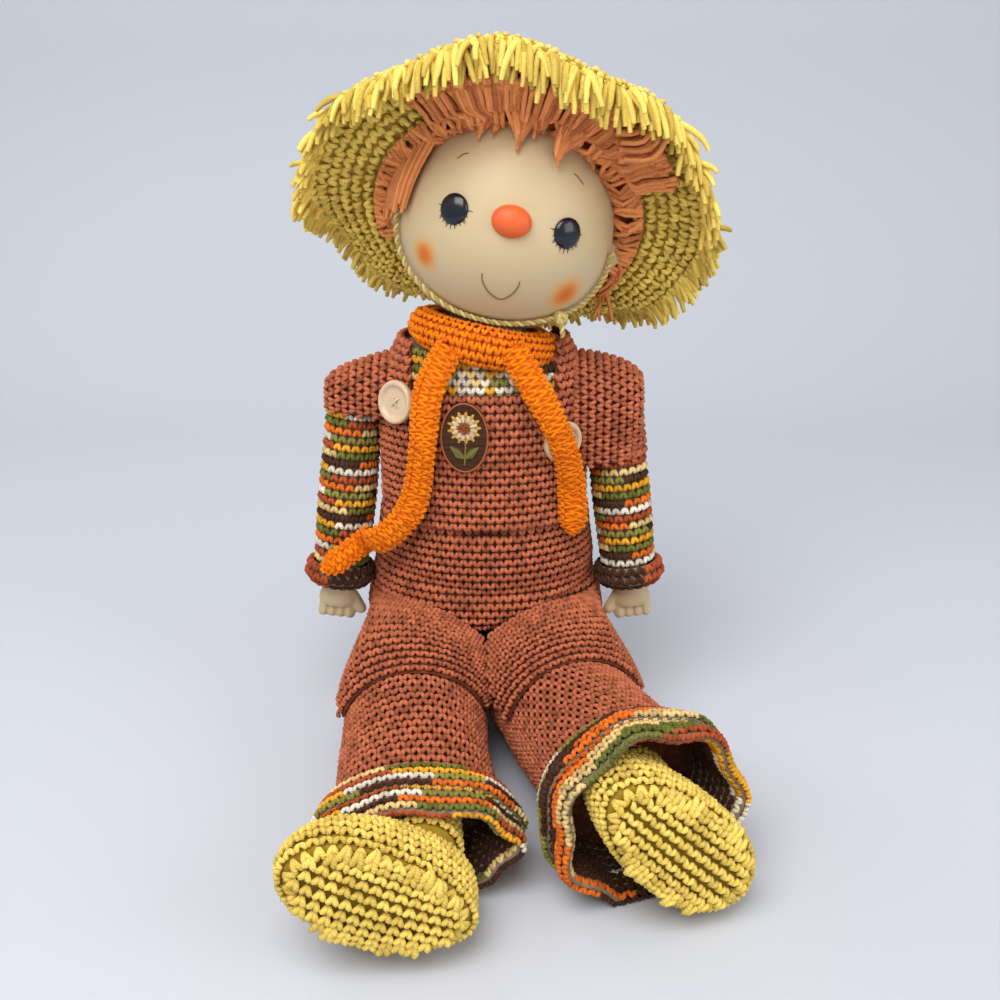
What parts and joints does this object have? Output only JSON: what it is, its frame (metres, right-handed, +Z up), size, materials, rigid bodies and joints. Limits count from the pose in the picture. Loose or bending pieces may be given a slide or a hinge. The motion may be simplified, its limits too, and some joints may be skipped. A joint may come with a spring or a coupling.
{
  "type": "scarecrow doll",
  "caption": "Seated scarecrow doll with a vinyl head and hands on a stuffed body, in crocheted overalls, shirt, scarf, shoes and a floppy fringed hat.",
  "frame": {"origin": "on the floor, on the flat underside of the seat just behind the legs", "axes": "+Z up, the figure faces -Y, +X is the figure's left"},
  "size_m": [0.1971, 0.2815, 0.3307],
  "materials": {
    "vinyl": "soft satin vinyl, ivory",
    "eye_gloss": "glossy black",
    "nose_paint": "painted orange, satin",
    "hair_yarn": "loose acrylic yarn",
    "straw_yarn": "crocheted acrylic yarn, straw gold",
    "tie_yarn": "crocheted chain, pale gold",
    "stuffed_cloth": "cotton cloth over fibre filling",
    "brown_yarn": "single crochet, russet brown",
    "mixed_yarn": "single crochet, variegated autumn yarn",
    "dark_yarn": "single crochet, dark brown and rust",
    "orange_yarn": "crocheted acrylic yarn, bright orange",
    "button": "cream, satin",
    "patch_thread": "embroidered thread",
    "tie_cord": "twisted cotton cord"
  },
  "bodies": {
    "torso": {"bib_patch": "patch_thread", "button_left": "button", "button_right": "button", "neck_cord": "tie_cord", "overalls_bib": "brown_yarn", "overalls_body": "brown_yarn", "scarf_tail_left": "orange_yarn", "scarf_tail_right": "orange_yarn", "scarf_wrap": "orange_yarn", "shirt_body": "mixed_yarn", "strap_left": "brown_yarn", "strap_right": "brown_yarn", "torso_stuffing": "stuffed_cloth"},
    "head": {"eye_left": "eye_gloss", "eye_right": "eye_gloss", "hair_cap": "hair_yarn", "hair_fringe_1": "hair_yarn", "hair_fringe_2": "hair_yarn", "hair_fringe_3": "hair_yarn", "hair_fringe_4": "hair_yarn", "hair_fringe_5": "hair_yarn", "hair_fringe_6": "hair_yarn", "hair_fringe_7": "hair_yarn", "hair_side_left": "hair_yarn", "hair_side_right": "hair_yarn", "hat_brim": "straw_yarn", "hat_crown": "straw_yarn", "hat_fringe": "straw_yarn", "hat_tie_knot": "tie_yarn", "hat_tie_left": "tie_yarn", "hat_tie_right": "tie_yarn", "nose": "nose_paint", "vinyl_head": "vinyl"},
    "left_arm": {"arm_left": "stuffed_cloth", "sleeve_cuff_left": "dark_yarn", "sleeve_left": "mixed_yarn", "wrist_cord_left": "tie_cord"},
    "right_arm": {"arm_right": "stuffed_cloth", "sleeve_cuff_right": "dark_yarn", "sleeve_right": "mixed_yarn", "wrist_cord_right": "tie_cord"},
    "left_hand": {"hand_left": "vinyl"},
    "right_hand": {"hand_right": "vinyl"},
    "left_leg": {"leg_left": "stuffed_cloth", "shoe_left": "straw_yarn", "shoe_sole_left": "straw_yarn", "trouser_cuff_left": "mixed_yarn", "trouser_leg_left": "brown_yarn"},
    "right_leg": {"leg_right": "stuffed_cloth", "shoe_right": "straw_yarn", "shoe_sole_right": "straw_yarn", "trouser_cuff_right": "mixed_yarn", "trouser_leg_right": "brown_yarn"}
  },
  "joints": [
    {"name": "neck_turn", "type": "hinge", "parent": "torso", "child": "head", "pos_m": [-0.00291, 0.00426, 0.1822], "axis": [0.2059, 0.1392, 0.9686], "range_deg": [-45, 45]},
    {"name": "shoulder_left", "type": "hinge", "parent": "torso", "child": "left_arm", "pos_m": [0.0595, 0.008, 0.166], "axis": [-1, 0, 0], "range_deg": [-40, 90]},
    {"name": "wrist_left", "type": "hinge", "parent": "left_arm", "child": "left_hand", "pos_m": [0.0708, -0.002, 0.077], "axis": [0.1252, -0.1108, -0.9859], "range_deg": [-45, 45]},
    {"name": "hip_left", "type": "hinge", "parent": "torso", "child": "left_leg", "pos_m": [0.034, -0.034, 0.0304], "axis": [1, 0, 0], "range_deg": [-20, 85]},
    {"name": "shoulder_right", "type": "hinge", "parent": "torso", "child": "right_arm", "pos_m": [-0.0595, 0.008, 0.166], "axis": [-1, 0, 0], "range_deg": [-40, 90], "deforming": ["scarf_tail_right"]},
    {"name": "wrist_right", "type": "hinge", "parent": "right_arm", "child": "right_hand", "pos_m": [-0.0708, -0.002, 0.077], "axis": [-0.1252, -0.1108, -0.9859], "range_deg": [-45, 45]},
    {"name": "hip_right", "type": "hinge", "parent": "torso", "child": "right_leg", "pos_m": [-0.034, -0.034, 0.0304], "axis": [1, 0, 0], "range_deg": [-20, 85]}
  ]
}
